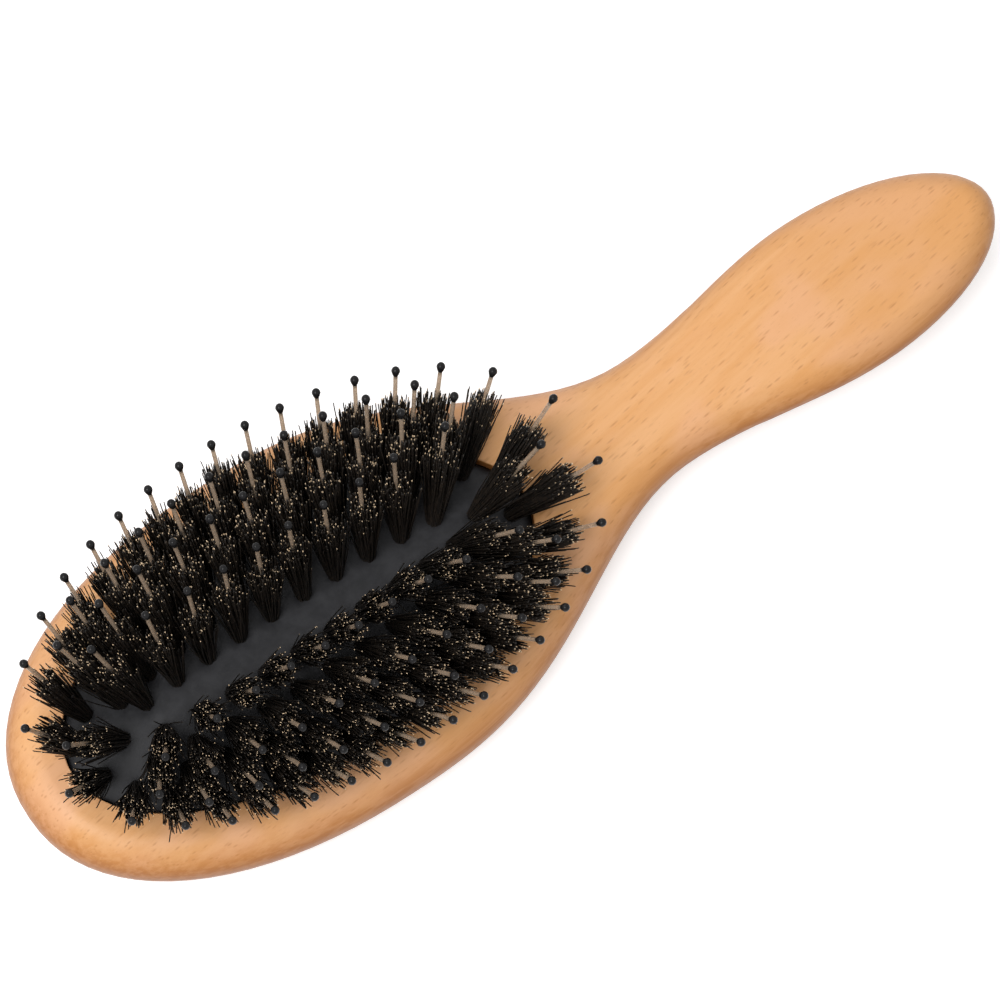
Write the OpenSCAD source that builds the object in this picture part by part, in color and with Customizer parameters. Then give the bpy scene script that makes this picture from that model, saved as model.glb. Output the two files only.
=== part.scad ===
// Oval cushion hair brush: beech body, air-backed rubber cushion, bristle tufts with ball-tipped pins.
// X runs from the head tip to the handle end, Y across, Z up; the brush lies on its flat back at Z = 0.

/* [Body] */
// Overall length from the head tip to the handle end
brush_length = 225; // [180:1:275]
// Width of the head at its widest
head_width = 73; // [60:0.5:90]
// Thickness of the head
head_thickness = 16; // [13:0.5:20]
// Width of the neck at its narrowest
neck_width = 24; // [18:0.5:30]
// Width of the handle at its widest
handle_width = 34; // [28:0.5:42]
// Thickness of the handle
handle_thickness = 13; // [10:0.5:16]
// Height of the handle's middle above the head's middle
handle_lift = 5.1; // [0:0.1:8]
// Radius of the rounded edges all round the body
edge_round = 7; // [4:0.1:7.5]

/* [Cushion] */
// Wood left between the cushion and the outside of the head
rim_width = 10.6; // [8:0.1:14]
// Rise of the cushion's crown above the wood
cushion_rise = 5; // [3:0.1:8]
// Thickness of the rubber
rubber_thickness = 1.4; // [1:0.1:2]
// Thickness of the cloth that lines the rubber
lining_thickness = 0.4; // [0.3:0.05:0.8]
// Depth of the air chamber under the wood's surface
chamber_depth = 10; // [8:0.1:11]
// Thickness of the foam on the chamber floor
foam_thickness = 2.5; // [1:0.1:3]

/* [Pins and tufts] */
// Distance between neighbouring tufts round the outer ring
tuft_pitch = 6.2; // [5.5:0.1:9]
// Diameter of a pin's shaft
pin_diameter = 0.85; // [0.7:0.05:1.3]
// Length of a pin above the rubber, without its ball
pin_length = 23.4; // [18:0.1:28]
// Diameter of a pin's ball tip
ball_diameter = 1.7; // [1.6:0.05:2.4]
// Diameter of a tuft where it leaves the rubber
tuft_diameter = 2.6; // [2.2:0.1:3]
// Diameter of a tuft at its trimmed end
tuft_flare = 3.7; // [3:0.1:5]
// Length of a tuft above the rubber
tuft_length = 17; // [12:0.1:18.5]
// Outward lean of the outer ring in degrees
lean_outer = 36; // [20:1:38]
// Outward lean of the second row in degrees
lean_second = 35; // [15:1:36]
// Outward lean of the third row in degrees
lean_third = 30; // [10:1:32]
// Outward lean of the inner row in degrees
lean_inner = 17; // [5:1:25]

/* [Fits] */
// Radial clearance between pieces that fit together
fit = 0.05; // [0.02:0.01:0.1]

/* [Hidden] */
k = brush_length / 225;
head_half = head_width / 2;
head_centre = 64 * k;
waist = 145 * k;
palm = 188 * k;
palm_half = handle_width / 2;
neck_half = neck_width / 2;
end_run = brush_length - palm;
half_t = head_thickness / 2 + 0.125;
mid_t = head_thickness - half_t;
oval_a = 51.3 * k;
oval_b = head_half - rim_width;
oval_x = 61.8 * k - brush_length / 2;
top_z = head_thickness;
lip = 3;
groove_z = top_z - 6.2;
groove_out = 1.7;
ledge_in = 1;
flange_top = top_z - lip - fit;
flange_low = flange_top - 1.75;
floor_z = top_z - chamber_depth;
crown_z = top_z + cushion_rise;
edge_z = top_z - 2.4;
pin_r = pin_diameter / 2;
tuft_r = tuft_diameter / 2;
fold_z = -3.1;
clip_t = 0.6;
nail_t = 0.8;
clip_r = 1.5;
nail_r = 1.2;
ring_inset = 0.178 * oval_b;
ring_step = 0.215 * oval_b;
ring_a = oval_a - 0.16 * oval_b;
row_step = 1.18 * tuft_pitch;
flare = min(tuft_flare, tuft_pitch - 0.5, 1.036 * ring_step - 0.5);
sides = 72;

// Half-width of the body at a distance from the head tip.
function body_half(x) =
    x <= 0 || x >= brush_length ? 0
    : x <= head_centre ? head_half * pow(1 - pow((head_centre - x) / head_centre, 2.15), 1 / 2.15)
    : x <= waist ? neck_half + (head_half - neck_half)
        * (0.5 + 0.5 * cos(180 * pow((x - head_centre) / (waist - head_centre), 1.33)))
    : x <= palm ? neck_half + (palm_half - neck_half) * (0.5 - 0.5 * cos(180 * (x - waist) / (palm - waist)))
    : palm_half * sqrt(1 - pow((x - palm) / end_run, 2));

function ease(x, from, to) =
    x <= from ? 0 : x >= to ? 1 : 0.5 - 0.5 * cos(180 * (x - from) / (to - from));

// Half thickness, middle height and edge radius along the body.
function half_at(x) = half_t + (handle_thickness / 2 - half_t) * ease(x, 112 * k, 165 * k);
function mid_at(x) = mid_t + handle_lift * ease(x, 116 * k, 188 * k);
function round_at(x) = edge_round - (edge_round - min(edge_round, 6.3)) * ease(x, 120 * k, 170 * k);

stations = concat(
    [for (i = [0:21]) head_centre * (1 - cos(90 * i / 22))],
    [for (i = [0:39]) head_centre + (palm - head_centre) * i / 40],
    [for (i = [0:16]) palm + end_run * sin(90 * i / 16)]);
last = len(stations) - 1;
around = 2 * last;
outline = concat(
    [for (i = [0:last]) [stations[i], body_half(stations[i])]],
    [for (i = [last - 1:-1:1]) [stations[i], -body_half(stations[i])]]);

function inward(i) =
    let (a = outline[(i + around - 1) % around], b = outline[(i + 1) % around], d = b - a)
    [d[1], -d[0]] / norm(d);

// One ring of points round the body, at an angle up its rounded edge.
function edge_ring(angle) = [
    for (i = [0:around - 1])
    let (p = outline[i], r = round_at(p[0]), q = p + inward(i) * r * (1 - cos(angle)))
    [q[0] - brush_length / 2, q[1], mid_at(p[0]) + half_at(p[0]) * sin(angle)]];

angles = [for (j = [-6:6]) 15 * j];
body_points = [for (a = angles) each edge_ring(a)];
body_walls = [for (j = [0:11], i = [0:around - 1]) each
    let (a = j * around + i, b = j * around + (i + 1) % around, c = b + around, d = a + around)
    [[a, b, c], [a, c, d]]];
body_lids = [for (i = [0:last - 1]) each
    let (a = i, b = i + 1, c = (around - b) % around, d = (around - a) % around, t = 12 * around)
    concat(
        i == 0 ? [[a, c, b], [t + a, t + b, t + c]]
        : i == last - 1 ? [[a, d, b], [t + a, t + b, t + d]]
        : [[a, d, c], [a, c, b], [t + a, t + c, t + d], [t + a, t + b, t + c]])];

module body_blank() {
    polyhedron(body_points, concat(body_walls, body_lids), convexity = 6);
}

// Upright oval block that stands a distance in from the cushion's opening.
module oval_block(inset, low, high) {
    translate([oval_x, 0, low])
    linear_extrude(high - low)
    polygon([for (i = [0:sides - 1]) [(oval_a - inset) * cos(360 * i / sides),
        (oval_b - inset) * sin(360 * i / sides)]]);
}

// Height of the cushion's outer face at a distance in from its edge.
function dome(s) = edge_z + (crown_z - edge_z) * pow(1 - pow(1 - min(max(s, 0), oval_b) / oval_b, 2.2), 0.8);

rows = [0.06, 0.11, 0.178, 0.28, 0.38, 0.464, 0.56, 0.66, 0.75, 0.86, 0.975];
dome_top = concat(
    [[-groove_out + 0.1, flange_top], [0.45, flange_top]],
    [for (r = rows) [r * oval_b, dome(r * oval_b)]]);

function dome_low(t) = concat(
    [for (j = [len(rows) - 1:-1:1]) [rows[j] * oval_b, dome(rows[j] * oval_b) - t]],
    [[0.45 + t, flange_low], [-groove_out + 0.1, flange_low]]);

// Closed skin whose section, given as distance in from the opening and height, starts and ends at the crown.
module oval_skin(section) {
    n = len(section);
    points = [for (p = section, i = [0:sides - 1])
        [oval_x + (oval_a - p[0]) * cos(360 * i / sides), (oval_b - p[0]) * sin(360 * i / sides), p[1]]];
    walls = [for (j = [0:n - 2], i = [0:sides - 1]) each
        let (a = j * sides + i, b = j * sides + (i + 1) % sides, c = b + sides, d = a + sides)
        [[a, c, b], [a, d, c]]];
    lids = [[for (i = [0:sides - 1]) i], [for (i = [sides - 1:-1:0]) (n - 1) * sides + i]];
    polyhedron(points, concat(walls, lids), convexity = 6);
}

// Arc length against angle for an oval, to space tufts evenly.
function arc_table(a, b) = [
    for (i = 0, s = 0; i <= 120; i = i + 1,
        s = s + norm([a * (cos(3 * i) - cos(3 * i - 3)), b * (sin(3 * i) - sin(3 * i - 3))])) [s, 3 * i]];

function row_half(row) = oval_b - ring_inset - row * ring_step;
lean_table = [[0.178, lean_outer], [0.393, lean_second], [0.608, lean_third], [0.823, lean_inner]];
drifts = [3, 2.5, 1.5, 1];
starts = [0, 0.5, 0, 0.5];
reaches = [0, 0.70, 0.80, 0.72];

// How far in from the opening the cushion's contour through a point lies.
function inset_at(x, y, low, high, n) =
    let (mid = (low + high) / 2)
    n == 0 ? mid
    : pow(x / (oval_a - mid), 2) + pow(y / (oval_b - mid), 2) > 1 ? inset_at(x, y, low, mid, n - 1)
    : inset_at(x, y, mid, high, n - 1);

// A seat is [x, y, z, lean, heading].
function seat(x, y, row, away, along) =
    let (
        s = inset_at(x, y, 0, 0.999 * oval_b, 14),
        normal = [x / pow(oval_a - s, 2), y / pow(oval_b - s, 2)], out = normal / norm(normal),
        reach = pin_length * sin(lookup(s / oval_b, lean_table)) + away,
        tip = out * reach + [-out[1], out[0]] * along + [drifts[row], 0])
    [oval_x + x, y, dome(s), asin(min(norm(tip) / pin_length, 0.8)), atan2(tip[1], tip[0])];

function mirrored(p) = [p[0], -p[1], p[2], p[3], -p[4]];

function ring_seats() =
    let (b = row_half(0), table = arc_table(ring_a, b), n = floor(table[120][0] / tuft_pitch / 2))
    [for (i = [0:n - 1])
        let (w = lookup((i + 0.5) / n * table[60][0], table))
        seat(ring_a * cos(w), b * sin(w), 0, 0, 0)];

function row_xs(row) = [for (x = [starts[row] * row_step:row_step:reaches[row] * ring_a]) x];

function row_seats(row) =
    let (xs = row_xs(row), away = rands(-0.3, 0.3, 80, 11 + row), along = rands(-0.3, 0.3, 80, 23 + row))
    [for (i = [0:len(xs) - 1], side = [1, -1])
        let (x = side * xs[i], j = 2 * i + (side > 0 ? 0 : 1))
        if (side > 0 || xs[i] > 0)
        seat(x, row_half(row) * sqrt(1 - pow(x / ring_a, 2)), row, away[j], along[j])];

function end_seats() =
    let (xs = row_xs(3), x = xs[len(xs) - 1] + row_step)
    [seat(-x, 0, 3, 0, 0), seat(x, 0, 3, 0, 0)];

// Every seat of a row, the same on both sides of the middle.
function seats(row) = concat(
    [for (p = row == 0 ? ring_seats() : row_seats(row))
        if (p[1] - 3.7 * sin(p[3]) * sin(p[4]) > clip_r + 0.1) each [p, mirrored(p)]],
    row == 3 ? end_seats() : []);

module at_seats(list) {
    for (p = list)
    translate([p[0], p[1], p[2]])
    rotate([0, p[3], p[4]])
    children();
}

module pin() {
    low = fold_z - clip_t - nail_t - 2 * fit;
    rotate_extrude($fn = 24)
    polygon([[0, low], [nail_r, low], [nail_r, low + nail_t], [pin_r, low + nail_t],
        [pin_r, pin_length], [0, pin_length]]);
}

module ball() {
    r = ball_diameter / 2;
    z = pin_length;
    rotate_extrude($fn = 24)
    polygon([[pin_r + fit / 2, z - 1.2], [pin_r + 0.12, z - 1.2], [0.92 * r, z - 0.6], [r, z - 0.1],
        [0.97 * r, z + 0.35], [0.78 * r, z + 0.8], [0.45 * r, z + 1.08], [0, z + 1.16],
        [0, z + fit], [pin_r + fit / 2, z + fit]]);
}

module tuft() {
    rotate_extrude($fn = 24)
    polygon([[pin_r + fit, fold_z], [tuft_r, fold_z], [tuft_r, 0.6], [flare / 2, tuft_length - 1],
        [0.9 * flare / 2, tuft_length], [pin_r + fit, tuft_length]]);
}

module clip() {
    translate([0, 0, fold_z - fit - clip_t])
    rotate_extrude($fn = 24)
    polygon([[pin_r + fit, 0], [clip_r, 0], [clip_r, clip_t], [pin_r + fit, clip_t]]);
}

module tuft_holes() {
    for (row = [0:3])
    at_seats(seats(row))
    translate([0, 0, -4])
    cylinder(h = 6, r = tuft_r + fit, $fn = 24);
}

module wooden_body() {
    color([0.84, 0.60, 0.38])
    difference() {
        body_blank();
        translate([-brush_length, -head_width, -10])
        cube([2 * brush_length, 2 * head_width, 10]);
        oval_block(0, groove_z + 1, top_z + 5);
        oval_block(-groove_out, groove_z, top_z - lip);
        oval_block(ledge_in, floor_z, groove_z + 1);
    }
}

module cushion() {
    color([0.17, 0.17, 0.18])
    difference() {
        oval_skin(concat(dome_low(rubber_thickness), dome_top));
        tuft_holes();
    }
}

module cushion_lining() {
    gap = rubber_thickness + fit;
    color([0.45, 0.43, 0.40])
    difference() {
        oval_skin(concat(
            [for (j = [len(rows) - 1:-1:2]) [rows[j] * oval_b, dome(rows[j] * oval_b) - gap - lining_thickness]],
            [for (j = [2:len(rows) - 1]) [rows[j] * oval_b, dome(rows[j] * oval_b) - gap]]));
        tuft_holes();
    }
}

module rim_ring() {
    color([0.72, 0.58, 0.40])
    difference() {
        oval_block(-groove_out + 0.1, groove_z + fit, flange_low - fit);
        oval_block(ledge_in - 0.2, groove_z - 1, flange_low + 1);
    }
}

module foam_pad() {
    color([0.70, 0.70, 0.66])
    oval_block(ledge_in + 0.5, floor_z + fit, floor_z + fit + foam_thickness);
}

module pins_outer() {
    color([0.38, 0.32, 0.27])
    at_seats(seats(0))
    pin();
}

module pins_second() {
    color([0.38, 0.32, 0.27])
    at_seats(seats(1))
    pin();
}

module pins_third() {
    color([0.38, 0.32, 0.27])
    at_seats(seats(2))
    pin();
}

module pins_inner() {
    color([0.38, 0.32, 0.27])
    at_seats(seats(3))
    pin();
}

module balls_outer() {
    color([0.05, 0.05, 0.05])
    at_seats(seats(0))
    ball();
}

module balls_second() {
    color([0.05, 0.05, 0.05])
    at_seats(seats(1))
    ball();
}

module balls_third() {
    color([0.05, 0.05, 0.05])
    at_seats(seats(2))
    ball();
}

module balls_inner() {
    color([0.05, 0.05, 0.05])
    at_seats(seats(3))
    ball();
}

module tufts_outer() {
    color([0.10, 0.08, 0.07])
    at_seats(seats(0))
    tuft();
}

module tufts_second() {
    color([0.10, 0.08, 0.07])
    at_seats(seats(1))
    tuft();
}

module tufts_third() {
    color([0.10, 0.08, 0.07])
    at_seats(seats(2))
    tuft();
}

module tufts_inner() {
    color([0.10, 0.08, 0.07])
    at_seats(seats(3))
    tuft();
}

module clips_outer() {
    color([0.62, 0.60, 0.56])
    at_seats(seats(0))
    clip();
}

module clips_second() {
    color([0.62, 0.60, 0.56])
    at_seats(seats(1))
    clip();
}

module clips_third() {
    color([0.62, 0.60, 0.56])
    at_seats(seats(2))
    clip();
}

module clips_inner() {
    color([0.62, 0.60, 0.56])
    at_seats(seats(3))
    clip();
}

wooden_body();
cushion();
cushion_lining();
rim_ring();
foam_pad();
pins_outer();
pins_second();
pins_third();
pins_inner();
balls_outer();
balls_second();
balls_third();
balls_inner();
tufts_outer();
tufts_second();
tufts_third();
tufts_inner();
clips_outer();
clips_second();
clips_third();
clips_inner();
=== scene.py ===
import math
import random

import bmesh
import bpy
import numpy as np
from mathutils import Matrix, Vector


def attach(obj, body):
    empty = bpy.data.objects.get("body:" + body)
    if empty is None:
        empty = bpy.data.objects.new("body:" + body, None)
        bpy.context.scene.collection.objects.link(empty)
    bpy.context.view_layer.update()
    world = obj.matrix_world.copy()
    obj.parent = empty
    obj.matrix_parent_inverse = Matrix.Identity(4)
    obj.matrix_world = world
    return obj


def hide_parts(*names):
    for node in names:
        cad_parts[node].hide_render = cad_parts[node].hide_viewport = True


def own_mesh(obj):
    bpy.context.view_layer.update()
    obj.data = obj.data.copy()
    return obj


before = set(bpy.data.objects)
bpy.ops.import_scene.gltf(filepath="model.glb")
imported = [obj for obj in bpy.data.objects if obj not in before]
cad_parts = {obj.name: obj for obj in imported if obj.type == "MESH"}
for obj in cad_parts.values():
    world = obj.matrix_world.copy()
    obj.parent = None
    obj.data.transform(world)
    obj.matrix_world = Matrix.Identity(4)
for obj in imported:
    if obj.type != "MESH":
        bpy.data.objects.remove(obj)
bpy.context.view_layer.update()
mm = 0.001
print("frame loaded")


# shader wiring: sums on sockets add Math nodes, everything else goes through Graph.add
class Wire:
    def __init__(self, graph, socket):
        self.graph = graph
        self.socket = socket

    def sum(self, operation, first, second=None, third=None):
        values = {i: v for i, v in enumerate((first, second, third)) if v is not None}
        return self.graph.add("ShaderNodeMath", {"operation": operation}, values)

    def __add__(self, other):
        return self.sum("ADD", self, other)

    def __radd__(self, other):
        return self.sum("ADD", other, self)

    def __sub__(self, other):
        return self.sum("SUBTRACT", self, other)

    def __rsub__(self, other):
        return self.sum("SUBTRACT", other, self)

    def __mul__(self, other):
        return self.sum("MULTIPLY", self, other)

    def __rmul__(self, other):
        return self.sum("MULTIPLY", other, self)

    def __lt__(self, other):
        return self.sum("LESS_THAN", self, other)

    def __gt__(self, other):
        return self.sum("GREATER_THAN", self, other)


class Graph:
    def __init__(self, tree):
        self.tree = tree
        self.tree.nodes.clear()

    def add(self, kind, settings=None, sockets=None, output=0):
        node = self.tree.nodes.new(kind)
        for name, value in (settings or {}).items():
            if name == "stops":
                ramp = node.color_ramp
                for i, (place, colour) in enumerate(value):
                    stop = ramp.elements[i] if i < 2 else ramp.elements.new(place)
                    stop.position = place
                    stop.color = (*colour, 1)
            else:
                setattr(node, name, value)
        for name, value in (sockets or {}).items():
            if isinstance(value, Wire):
                self.tree.links.new(value.socket, node.inputs[name])
            elif isinstance(value, tuple) and node.inputs[name].type == "RGBA":
                node.inputs[name].default_value = (*value[:3], 1)
            else:
                node.inputs[name].default_value = value
        return Wire(self, node.outputs[output]) if node.outputs else None


def smoothStep(value, low, high):
    return value.graph.add(
        "ShaderNodeMapRange", {"interpolation_type": "SMOOTHSTEP"},
        {"Value": value, "From Min": low, "From Max": high, "To Min": 0.0, "To Max": 1.0})


def mixColour(graph, factor, a, b, how="MIX"):
    return graph.add("ShaderNodeMix", {"data_type": "RGBA", "blend_type": how},
                     {0: factor, 6: a, 7: b}, 2)


def inMillimetres(graph, stretch=(1, 1, 1), shift=(0, 0, 0)):
    place = graph.add("ShaderNodeTexCoord", output=3)
    scale = tuple(1000 * s for s in stretch)
    return graph.add("ShaderNodeMapping", {}, {"Vector": place, "Scale": scale, "Location": shift})


def noise(graph, vector, scale=1.0, detail=2.0, rough=0.5, output=0):
    return graph.add("ShaderNodeTexNoise", {},
                     {"Vector": vector, "Scale": scale, "Detail": detail, "Roughness": rough}, output)


def newMaterial(name):
    material = bpy.data.materials.new(name)
    material.use_nodes = True
    return material, Graph(material.node_tree)


def finishMaterial(graph, sockets):
    shader = graph.add("ShaderNodeBsdfPrincipled", {}, sockets)
    graph.add("ShaderNodeOutputMaterial", {}, {"Surface": shader})


def bumpFrom(graph, height, strength, distance):
    return graph.add("ShaderNodeBump", {}, {"Height": height, "Strength": strength, "Distance": distance})


def dress(piece, material):
    piece.data.materials.clear()
    piece.data.materials.append(material)


# the beech
beech = {
    "pale": (0.775, 0.420, 0.195),
    "warm": (0.715, 0.350, 0.130),
    "rosy": (0.785, 0.430, 0.240),
    # edge: dark orange for the fibre lines, and the painted shade on the rounded edges
    "edge": (0.425, 0.152, 0.026),
    # side: painted shade for the steep sides and underside
    "side": (0.230, 0.078, 0.022),
    "fleck": (0.480, 0.215, 0.080),
    "slant": 9.0,  # degrees between the grain and the brush
    "fleckShare": 0.62,
    "roughness": 0.40,
}


def alongGrain(graph, stretch, shift=(0, 0, 0)):
    turned = graph.add("ShaderNodeMapping", {},
                       {"Vector": inMillimetres(graph), "Rotation": (0, 0, math.radians(-beech["slant"]))})
    return graph.add("ShaderNodeMapping", {}, {"Vector": turned, "Scale": stretch, "Location": shift})


def grainDashes(graph, stretch, shift, share, near, far):
    drift = noise(graph, alongGrain(graph, (0.05, 0.05, 0.05), shift), 1.0, 1.0, 0.5, 1)
    place = graph.add("ShaderNodeVectorMath", {"operation": "MULTIPLY_ADD"},
                      {0: drift, 1: (0.3, 1.2, 1.2), 2: alongGrain(graph, stretch, shift)})
    cells = graph.add("ShaderNodeTexVoronoi", {"feature": "F1"}, {"Vector": place, "Scale": 1.0, "Randomness": 1.0})
    found = cells.socket.node.outputs
    lot = graph.add("ShaderNodeSeparateColor", {}, {"Color": Wire(graph, found["Color"])}).socket.node.outputs
    depth = Wire(graph, lot[1]) * 0.75 + 0.25
    return (1.0 - smoothStep(Wire(graph, found["Distance"]), near, far)) * (Wire(graph, lot[0]) < share) * depth


def beechMaterial():
    material, graph = newMaterial("oiledBeech")
    cloud = noise(graph, inMillimetres(graph, (0.05, 0.09, 0.09)), 1.0, 2.0)
    broad = noise(graph, alongGrain(graph, (0.014, 0.11, 0.11)), 1.0, 3.0, 0.5)
    streaks = noise(graph, alongGrain(graph, (0.03, 0.75, 0.75), (4, 2, 1)), 1.0, 3.0, 0.6)
    fibres = noise(graph, alongGrain(graph, (0.22, 3.4, 3.4)), 1.0, 3.0, 0.65)
    colour = mixColour(graph, smoothStep(0.65 * broad + 0.35 * streaks, 0.36, 0.66), beech["pale"], beech["warm"])
    colour = mixColour(graph, smoothStep(cloud, 0.42, 0.68) * 0.8, colour, beech["rosy"])
    along = graph.add("ShaderNodeSeparateXYZ", {}, {0: inMillimetres(graph)})
    colour = mixColour(graph, smoothStep(along, 35.0, 105.0) * 0.55, colour, beech["warm"])
    colour = mixColour(graph, smoothStep(fibres, 0.50, 0.85) * 0.13, colour, beech["edge"])
    # the rays show as short dashes along the grain, the pores as finer ones
    rays = grainDashes(graph, (0.27, 1.45, 1.45), (0, 0, 0), 0.74, 0.07, 0.41)
    pores = grainDashes(graph, (0.75, 3.6, 3.6), (7, 3, 5), 0.35, 0.12, 0.34)
    colour = mixColour(graph, rays * beech["fleckShare"], colour, beech["fleck"])
    colour = mixColour(graph, pores * 0.22, colour, beech["fleck"])
    # painted shade, partly oil: the rounded edges are painted darker and warmer the more they turn from the top, for
    # the oil soaked in there and for the shade where they face away from the light
    facing = graph.add("ShaderNodeNewGeometry", output=1)
    up = graph.add("ShaderNodeSeparateXYZ", {}, {0: facing}, 2)
    oilAndShadeOnEdges = 1.0 - smoothStep(up, 0.24, 1.0)
    glow = smoothStep(streaks, 0.38, 0.62)
    colour = mixColour(graph, oilAndShadeOnEdges * (0.72 + 0.26 * glow), colour, beech["edge"])
    # painted shade: the steep sides and underside are painted darker still
    colour = mixColour(graph, (1.0 - smoothStep(up, -0.20, 0.55)) * 0.58, colour, beech["side"])
    height = fibres * 0.35 - rays * 0.9 - pores * 0.3
    finishMaterial(graph, {
        "Base Color": colour,
        "Roughness": beech["roughness"] + 0.14 * (fibres - 0.5) + 0.10 * rays,
        "Coat Weight": 0.05, "Coat Roughness": 0.25, "Specular IOR Level": 0.18,
        "Normal": bumpFrom(graph, height, 0.35, 0.00006)})
    return material


body = {"lipRound": 0.45, "crown": 0.16, "crownFrom": 0.0, "crownTo": 45.0}


def easeBetween(x, low, high):
    t = min(max((x - low) / (high - low), 0.0), 1.0)
    return t * t * (3 - 2 * t)


def buildBody():
    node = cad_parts["wooden_body"]
    bm = bmesh.new()
    bm.from_mesh(node.data)
    bmesh.ops.remove_doubles(bm, verts=bm.verts, dist=1e-6)
    bmesh.ops.dissolve_limit(bm, angle_limit=math.radians(0.4), verts=bm.verts, edges=bm.edges)
    # cut the handle into strips so that it can be crowned
    for y in range(-15, 16, 3):
        strip = [f for f in bm.faces if f.calc_center_median().x > -5 * mm and abs(f.normal.z) > 0.8]
        parts = list({e for f in strip for e in f.edges} | {v for f in strip for v in f.verts}) + strip
        bmesh.ops.bisect_plane(bm, geom=parts, plane_co=(0, y * mm, 0), plane_no=(0, 1, 0), dist=1e-6)
    ring = [v.co for v in bm.verts if v.co.x > 0]
    slices = {}
    for co in ring:
        key = round(co.x / mm / 4)
        low, high, wide = slices.get(key, (1, -1, 0))
        slices[key] = (min(low, co.z), max(high, co.z), max(wide, abs(co.y)))
    for v in bm.verts:
        low, high, wide = slices.get(round(v.co.x / mm / 4), (0, 0, 0))
        if wide:
            middle = (low + high) / 2
            share = body["crown"] * easeBetween(v.co.x / mm, body["crownFrom"], body["crownTo"])
            v.co.z = middle + (v.co.z - middle) * (1 - share * min(abs(v.co.y) / wide, 1) ** 2)
    mesh = bpy.data.meshes.new("beechBody")
    bm.to_mesh(mesh)
    bm.free()
    for polygon in mesh.polygons:
        polygon.use_smooth = True
    piece = bpy.data.objects.new("beechBody", mesh)
    bpy.context.scene.collection.objects.link(piece)
    soften = piece.modifiers.new("lip", "BEVEL")
    soften.limit_method = "ANGLE"
    soften.angle_limit = math.radians(50)
    soften.width = body["lipRound"] * mm
    soften.segments = 3
    even = piece.modifiers.new("even", "WEIGHTED_NORMAL")
    even.weight = 80
    dress(piece, beechMaterial())
    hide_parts("wooden_body")
    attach(piece, "brush_body")
    return piece


# where the pins stand, read from the CAD nodes
def seatsOf(nodeName):
    bm = bmesh.new()
    bm.from_mesh(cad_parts[nodeName].data)
    bmesh.ops.remove_doubles(bm, verts=bm.verts, dist=1e-6)
    seen = set()
    seats = []
    for start in bm.verts:
        if start in seen:
            continue
        island, front = [], [start]
        seen.add(start)
        while front:
            v = front.pop()
            island.append(v.co[:])
            for e in v.link_edges:
                other = e.other_vert(v)
                if other not in seen:
                    seen.add(other)
                    front.append(other)
        points = np.array(island)
        centre = points.mean(0)
        axis = np.linalg.svd(points - centre, full_matrices=False)[2][0]
        axis = axis * (1 if axis[2] > 0 else -1)
        along = (points - centre) @ axis
        top = centre + axis * along.max()
        seats.append((Vector(top), Vector(axis)))
    bm.free()
    return sorted(seats, key=lambda s: (round(s[0].x, 5), s[0].y))


rows = ["outer", "second", "third", "inner"]
pinReach = 23.4  # from the rubber to a pin's end
seats = {row: seatsOf("pins_" + row) for row in rows}
print("seats", {row: len(found) for row, found in seats.items()})


def seatMatrix(seat, spin, lift):
    top, axis = seat
    turn = Vector((0, 0, 1)).rotation_difference(axis).to_matrix().to_4x4()
    return Matrix.Translation(top + axis * lift) @ turn @ Matrix.Rotation(spin, 4, "Z")


# the rubber cushion
cushion = {
    "sides": 192,
    "flangeLow": 11.2,
    "flangeTop": 12.95,
    "edge": 13.6,
    "crown": 21.0,
    "halfLength": 51.3,
    "halfWidth": 25.9,
    "middle": -50.7,
    "thick": 1.4,
    "dimple": 0.40,
    "dimpleWidth": 1.9,
}


def domeHeight(inset):
    share = 1 - min(max(inset / cushion["halfWidth"], 0), 1)
    return cushion["edge"] + (cushion["crown"] - cushion["edge"]) * (1 - share ** 2.2) ** 0.8


def shellFromSection(section, name):
    bm = bmesh.new()
    sides = cushion["sides"]
    made = bmesh.ops.create_circle(bm, cap_ends=True, segments=sides, radius=1)
    ring = made["verts"]
    angles = [math.atan2(v.co.y, v.co.x) for v in ring]

    def place(verts, inset, height):
        for v, angle in zip(verts, angles):
            v.co = Vector((cushion["middle"] + (cushion["halfLength"] - inset) * math.cos(angle),
                           (cushion["halfWidth"] - inset) * math.sin(angle), height)) * mm

    place(ring, *section[0])
    edges = [e for e in bm.edges]
    for inset, height in section[1:]:
        grown = bmesh.ops.extrude_edge_only(bm, edges=edges)["geom"]
        edges = [g for g in grown if isinstance(g, bmesh.types.BMEdge)]
        fresh = [g for g in grown if isinstance(g, bmesh.types.BMVert)]
        previous = ring
        linked = {}
        for v in fresh:
            for e in v.link_edges:
                linked[e.other_vert(v)] = v
        ring = [linked[v] for v in previous]
        place(ring, inset, height)
    bmesh.ops.contextual_create(bm, geom=edges)
    bmesh.ops.recalc_face_normals(bm, faces=bm.faces)
    mesh = bpy.data.meshes.new(name)
    return bm, mesh


def domeRows(low, count):
    wide = cushion["halfWidth"]
    return [low + (wide - 0.5 - low) * (i / count) ** 1.15 for i in range(count + 1)]


def rubberMaterial():
    material, graph = newMaterial("charcoalRubber")
    mottle = noise(graph, inMillimetres(graph), 0.35, 4.0, 0.6)
    grain = noise(graph, inMillimetres(graph), 6.0, 2.0, 0.6)
    colour = mixColour(graph, smoothStep(mottle, 0.3, 0.75), (0.016, 0.016, 0.018), (0.032, 0.032, 0.035))
    finishMaterial(graph, {
        "Base Color": colour,
        "Roughness": 0.52 + 0.16 * mottle,
        "Specular IOR Level": 0.28,
        "Normal": bumpFrom(graph, mottle * 0.6 + grain * 0.25, 0.3, 0.0002)})
    return material


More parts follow.
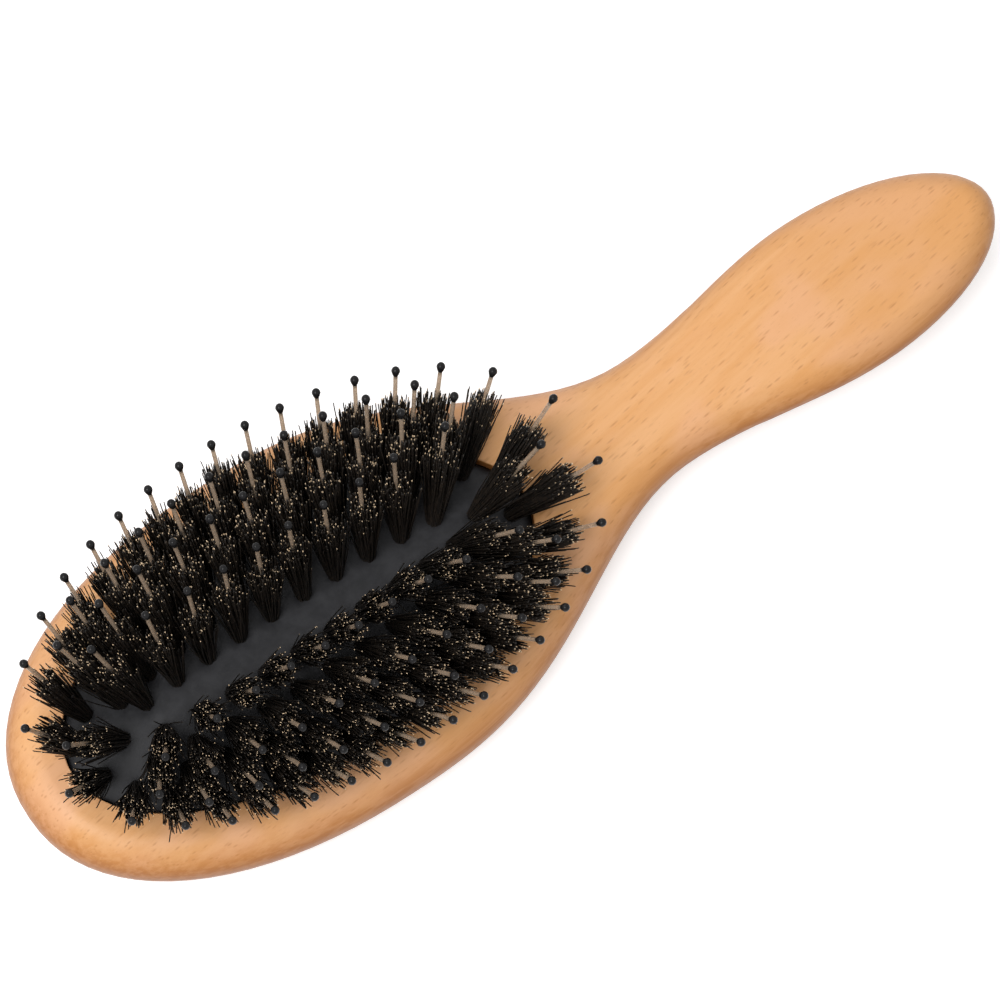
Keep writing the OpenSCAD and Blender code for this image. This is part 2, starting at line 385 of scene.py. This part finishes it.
def buildCushion():
    top = [(-1.6, cushion["flangeTop"]), (0.25, cushion["flangeTop"])]
    top += [(s, domeHeight(s)) for s in domeRows(0.35, 38)]
    thick = cushion["thick"]
    under = [(s, domeHeight(s) - thick) for s in reversed(domeRows(4.0, 16))]
    under += [(1.85, cushion["flangeLow"]), (-1.6, cushion["flangeLow"])]
    bm, mesh = shellFromSection(under + top, "rubberCushion")
    holes = []
    for row in rows:
        for seat in seats[row]:
            holes.append(seat[0] - seat[1] * pinReach * mm)
    spots = np.array([h[:] for h in holes])
    wide = cushion["dimpleWidth"] * mm
    for v in bm.verts:
        if v.normal.z > 0.2 and v.co.z > 0.0138:
            away = ((spots[:, :2] - np.array(v.co[:2])) ** 2).sum(1)
            v.co.z -= cushion["dimple"] * mm * float(np.exp(-away / wide ** 2).sum())
    bm.to_mesh(mesh)
    bm.free()
    for polygon in mesh.polygons:
        polygon.use_smooth = True
    piece = bpy.data.objects.new("rubberCushion", mesh)
    bpy.context.scene.collection.objects.link(piece)
    dress(piece, rubberMaterial())
    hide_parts("cushion")
    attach(piece, "brush_body")
    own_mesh(piece)
    return piece


def clothMaterial():
    material, graph = newMaterial("liningCloth")
    across = graph.add("ShaderNodeTexWave", {"bands_direction": "X"}, {"Vector": inMillimetres(graph), "Scale": 1.2})
    along = graph.add("ShaderNodeTexWave", {"bands_direction": "Y"}, {"Vector": inMillimetres(graph), "Scale": 1.2})
    weave = across * 0.5 + along * 0.5
    colour = mixColour(graph, weave, (0.16, 0.15, 0.13), (0.30, 0.28, 0.25))
    finishMaterial(graph, {"Base Color": colour, "Roughness": 0.85, "Normal": bumpFrom(graph, weave, 0.4, 0.0001)})
    return material


def buildLining():
    low = 2.85
    outer = [(s, domeHeight(s) - 1.50) for s in domeRows(low, 14)]
    under = [(s, h - 0.4) for s, h in reversed(outer)]
    bm, mesh = shellFromSection(under + outer, "clothLining")
    bm.to_mesh(mesh)
    bm.free()
    piece = bpy.data.objects.new("clothLining", mesh)
    bpy.context.scene.collection.objects.link(piece)
    dress(piece, clothMaterial())
    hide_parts("cushion_lining")
    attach(piece, "brush_body")
    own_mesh(piece)


# bristle tufts: a few different bundles, turned and reused at every seat
tuft = {
    "bristles": 230,
    "kinds": 9,
    "root": -1.2,
    "rootRadius": 1.35,
    "length": 17.0,
    "spread": 3.7,
    "thickness": 0.15,
    "strays": 0.14,
    "paleTips": (0, 0, 0, 0, 0, 0.35, 0.7, 1.0),
    "joints": ((0.42, 0.97, 0.0), (0.972, 0.85, 0.05), (1.0, 0.78, 1.0)),  # how far up, how thick, how pale
}


def bundle(kind):
    dice = random.Random(100 + kind)
    bm = bmesh.new()
    tone = bm.verts.layers.float.new("tipTone")
    clump = [(dice.uniform(0, 6.28), dice.uniform(0.3, 0.9)) for _ in range(7)]
    for i in range(tuft["bristles"]):
        share = math.sqrt((i + 0.5) / tuft["bristles"])
        heading = i * 2.39996 + dice.uniform(-0.4, 0.4)
        start = share * tuft["rootRadius"]
        reach = share * tuft["spread"] * dice.uniform(0.75, 1.25) + dice.uniform(-0.2, 0.35)
        if dice.random() < tuft["strays"]:
            reach += dice.uniform(0.8, 2.6)
        length = tuft["length"] * (1.06 - 0.36 * dice.random() ** 1.6) - 0.8 * share
        twist = dice.uniform(-0.30, 0.30)
        glow = dice.choice(tuft["paleTips"])
        # bristles draw together into a few pointed wisps
        wispHeading, wispShare = clump[i % len(clump)]
        wisp = Vector((math.cos(wispHeading), math.sin(wispHeading), 0)) * wispShare * tuft["spread"]
        ring = bmesh.ops.create_circle(bm, segments=3, radius=tuft["thickness"])["verts"]
        edges = list({e for v in ring for e in v.link_edges})
        shift = Vector((start * math.cos(heading), start * math.sin(heading), tuft["root"]))
        bmesh.ops.translate(bm, verts=ring, vec=shift)
        spot, before = shift, 1.0
        for t, thin, pale in tuft["joints"]:
            grown = bmesh.ops.extrude_edge_only(bm, edges=edges)["geom"]
            edges = [g for g in grown if isinstance(g, bmesh.types.BMEdge)]
            fresh = [g for g in grown if isinstance(g, bmesh.types.BMVert)]
            radius = start + (reach - start) * t ** 1.25
            turn = heading + twist * t * t
            goal = Vector((radius * math.cos(turn), radius * math.sin(turn), tuft["root"] + (length - tuft["root"]) * t))
            pull = 0.26 * t * t
            goal = Vector((goal.x + (wisp.x - goal.x) * pull, goal.y + (wisp.y - goal.y) * pull, goal.z))
            for v in fresh:
                v.co = goal + (v.co - spot) * thin / before
                v[tone] = glow * pale
            spot, before = goal, thin
        bmesh.ops.contextual_create(bm, geom=edges)
    bmesh.ops.scale(bm, verts=bm.verts, vec=(mm, mm, mm))
    mesh = bpy.data.meshes.new("bundle")
    bm.to_mesh(mesh)
    bm.free()
    return mesh


def bristleMaterial():
    material, graph = newMaterial("boarBristle")
    tone = graph.add("ShaderNodeAttribute", {"attribute_name": "tipTone"}, {}, 2)
    streak = noise(graph, inMillimetres(graph), 1.4, 2.0, 0.6)
    dark = mixColour(graph, smoothStep(streak, 0.35, 0.75), (0.008, 0.0065, 0.0055), (0.026, 0.018, 0.012))
    golden = mixColour(graph, streak, (0.86, 0.58, 0.30), (0.80, 0.66, 0.50))
    colour = mixColour(graph, smoothStep(tone, 0.12, 0.95), dark, golden)
    finishMaterial(graph, {
        "Base Color": colour,
        "Roughness": 0.42 + 0.15 * streak,
        "Specular IOR Level": 0.35})
    return material


def buildTufts():
    kinds = [bundle(k) for k in range(tuft["kinds"])]
    material = bristleMaterial()
    dice = random.Random(7)
    for row in rows:
        bm = bmesh.new()
        bm.verts.layers.float.new("tipTone")
        for seat in seats[row]:
            before = len(bm.verts)
            bm.from_mesh(dice.choice(kinds))
            bm.verts.ensure_lookup_table()
            place = seatMatrix(seat, dice.uniform(0, 2 * math.pi), -pinReach * mm)
            stretch = Matrix.Diagonal((1, 1, dice.uniform(0.93, 1.06), 1))
            bmesh.ops.transform(bm, matrix=place @ stretch, verts=bm.verts[before:])
        mesh = bpy.data.meshes.new("bristles_" + row)
        bm.to_mesh(mesh)
        bm.free()
        for polygon in mesh.polygons:
            polygon.use_smooth = True
        piece = bpy.data.objects.new("bristles_" + row, mesh)
        bpy.context.scene.collection.objects.link(piece)
        dress(piece, material)
        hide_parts("tufts_" + row)
        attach(piece, row + "_row")
        print("tufts", row, len(mesh.polygons))


# ball tips
tip = {"across": 0.88, "above": 0.98, "below": 1.75, "rings": 8, "sides": 12, "pinch": 0.66}


def ballMaterial():
    material, graph = newMaterial("dippedTip")
    patch = noise(graph, inMillimetres(graph), 0.9, 2.0, 0.5)
    colour = mixColour(graph, patch, (0.006, 0.006, 0.007), (0.016, 0.015, 0.015))
    finishMaterial(graph, {"Base Color": colour, "Roughness": 0.08 + 0.06 * patch, "Specular IOR Level": 0.14})
    return material


def buildTips():
    material = ballMaterial()
    for row in rows:
        bm = bmesh.new()
        for i, seat in enumerate(seats[row]):
            made = bmesh.ops.create_uvsphere(bm, u_segments=tip["sides"], v_segments=tip["rings"], radius=1)["verts"]
            for v in made:
                slim = (1 - tip["pinch"] * max(0, -v.co.z) ** 1.2) * tip["across"]
                tall = tip["above"] if v.co.z > 0 else tip["below"]
                v.co = Vector((v.co.x * slim, v.co.y * slim, v.co.z * tall)) * mm
            bmesh.ops.transform(bm, matrix=seatMatrix(seat, i, -0.06 * mm), verts=made)
        mesh = bpy.data.meshes.new("tips_" + row)
        bm.to_mesh(mesh)
        bm.free()
        for polygon in mesh.polygons:
            polygon.use_smooth = True
        piece = bpy.data.objects.new("tips_" + row, mesh)
        bpy.context.scene.collection.objects.link(piece)
        dress(piece, material)
        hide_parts("balls_" + row)
        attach(piece, row + "_row")


def nylonMaterial():
    material, graph = newMaterial("smokedNylon")
    cloud = noise(graph, inMillimetres(graph), 0.8, 2.0, 0.5)
    colour = mixColour(graph, cloud, (0.42, 0.31, 0.22), (0.60, 0.47, 0.35))
    finishMaterial(graph, {"Base Color": colour, "Roughness": 0.22 + 0.1 * cloud, "Transmission Weight": 0.55,
                           "IOR": 1.50})
    return material


def clipMaterial():
    material, graph = newMaterial("clipPlastic")
    cloud = noise(graph, inMillimetres(graph), 1.5, 3.0, 0.5)
    colour = mixColour(graph, cloud, (0.34, 0.32, 0.29), (0.44, 0.42, 0.38))
    finishMaterial(graph, {"Base Color": colour, "Roughness": 0.5 + 0.15 * cloud})
    return material


def foamMaterial():
    material, graph = newMaterial("foam")
    cells = graph.add("ShaderNodeTexVoronoi", {}, {"Vector": inMillimetres(graph), "Scale": 1.6})
    colour = mixColour(graph, smoothStep(cells, 0.1, 0.6), (0.25, 0.25, 0.23), (0.52, 0.52, 0.48))
    finishMaterial(graph, {"Base Color": colour, "Roughness": 0.95, "Normal": bumpFrom(graph, cells, 0.5, 0.0003)})
    return material


def ringMaterial():
    material, graph = newMaterial("rimPly")
    grain = noise(graph, inMillimetres(graph, (0.05, 0.6, 3.0)), 1.0, 3.0, 0.6)
    colour = mixColour(graph, smoothStep(grain, 0.3, 0.7), (0.50, 0.31, 0.15), (0.36, 0.20, 0.09))
    finishMaterial(graph, {"Base Color": colour, "Roughness": 0.6 + 0.1 * grain,
                           "Normal": bumpFrom(graph, grain, 0.3, 0.0001)})
    return material


def dressFrame():
    nylon, clip = nylonMaterial(), clipMaterial()
    for row in rows:
        dress(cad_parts["pins_" + row], nylon)
        dress(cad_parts["clips_" + row], clip)
    dress(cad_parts["foam_pad"], foamMaterial())
    dress(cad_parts["rim_ring"], ringMaterial())


buildBody()
print("body done")
buildCushion()
buildLining()
print("cushion done")
buildTufts()
buildTips()
dressFrame()
print("rows done")


# camera, lights, floor
view = {"heading": -133.48, "height": 71.49, "roll": 9.32, "distance": 1.0765, "lens": 201.77,
        "target": (-0.0041, 0.0005, 0.016)}


def buildCamera():
    heading, height, roll = (math.radians(view[k]) for k in ("heading", "height", "roll"))
    back = Vector((math.cos(height) * math.cos(heading), math.cos(height) * math.sin(heading), math.sin(height)))
    side = (-back).cross(Vector((0, 0, 1))).normalized()
    up = side.cross(-back)
    right = side * math.cos(roll) + up * math.sin(roll)
    over = up * math.cos(roll) - side * math.sin(roll)
    data = bpy.data.cameras.new("camera")
    data.lens = view["lens"]
    data.sensor_width = 36
    camera = bpy.data.objects.new("camera", data)
    turn = Matrix((right, over, back)).transposed().to_4x4()
    camera.matrix_world = Matrix.Translation(Vector(view["target"]) + back * view["distance"]) @ turn
    bpy.context.scene.collection.objects.link(camera)
    bpy.context.scene.camera = camera


lights = {
    "key": {"place": (-0.62, -0.12, 0.95), "size": 0.6, "power": 7.5},
    "fill": {"place": (-0.05, 0.65, 0.90), "size": 0.8, "power": 2.2},
    "glint": {"place": (-0.45, 0.10, 1.00), "size": 0.09, "power": 0.5},
    "world": 0.54,
}


def buildLights():
    for name in ("key", "fill", "glint"):
        data = bpy.data.lights.new(name, "AREA")
        data.shape = "DISK"
        data.size = lights[name]["size"]
        data.energy = lights[name]["power"]
        lamp = bpy.data.objects.new(name, data)
        lamp.location = lights[name]["place"]
        lamp.rotation_euler = (Vector((0, 0, 0)) - lamp.location).to_track_quat("-Z", "Y").to_euler()
        bpy.context.scene.collection.objects.link(lamp)
    world = bpy.data.worlds.new("studio")
    world.use_nodes = True
    bpy.context.scene.world = world
    graph = Graph(world.node_tree)
    seen = seenDirectly(graph)
    strength = seen * (1.0 - lights["world"]) + lights["world"]
    sky = graph.add("ShaderNodeBackground", {}, {"Color": (1, 1, 1), "Strength": strength})
    graph.add("ShaderNodeOutputWorld", {}, {"Surface": sky})


def seenDirectly(graph):
    path = graph.add("ShaderNodeLightPath").socket.node.outputs
    camera, glossy, through = (Wire(graph, path[n]) for n in ("Is Camera Ray", "Is Glossy Ray", "Is Transmission Ray"))
    return graph.add("ShaderNodeMath", {"operation": "MINIMUM"}, {0: camera + glossy + through, 1: 1.0})


def buildFloor():
    bm = bmesh.new()
    bmesh.ops.create_grid(bm, x_segments=1, y_segments=1, size=3)
    mesh = bpy.data.meshes.new("floor")
    bm.to_mesh(mesh)
    bm.free()
    floor = bpy.data.objects.new("floor", mesh)
    bpy.context.scene.collection.objects.link(floor)
    material, graph = newMaterial("paleFloor")
    speck = noise(graph, inMillimetres(graph), 0.02, 2.0)
    colour = mixColour(graph, speck, (0.86, 0.86, 0.86), (0.88, 0.88, 0.88))
    shader = graph.add("ShaderNodeBsdfPrincipled", {}, {
        "Base Color": colour, "Roughness": 0.9, "Specular IOR Level": 0.1,
        "Emission Color": (1, 1, 1), "Emission Strength": seenDirectly(graph) * 0.50})
    graph.add("ShaderNodeOutputMaterial", {}, {"Surface": shader})
    dress(floor, material)


buildCamera()
buildLights()
buildFloor()
bpy.context.scene.view_settings.view_transform = "Standard"
print("scene ready")
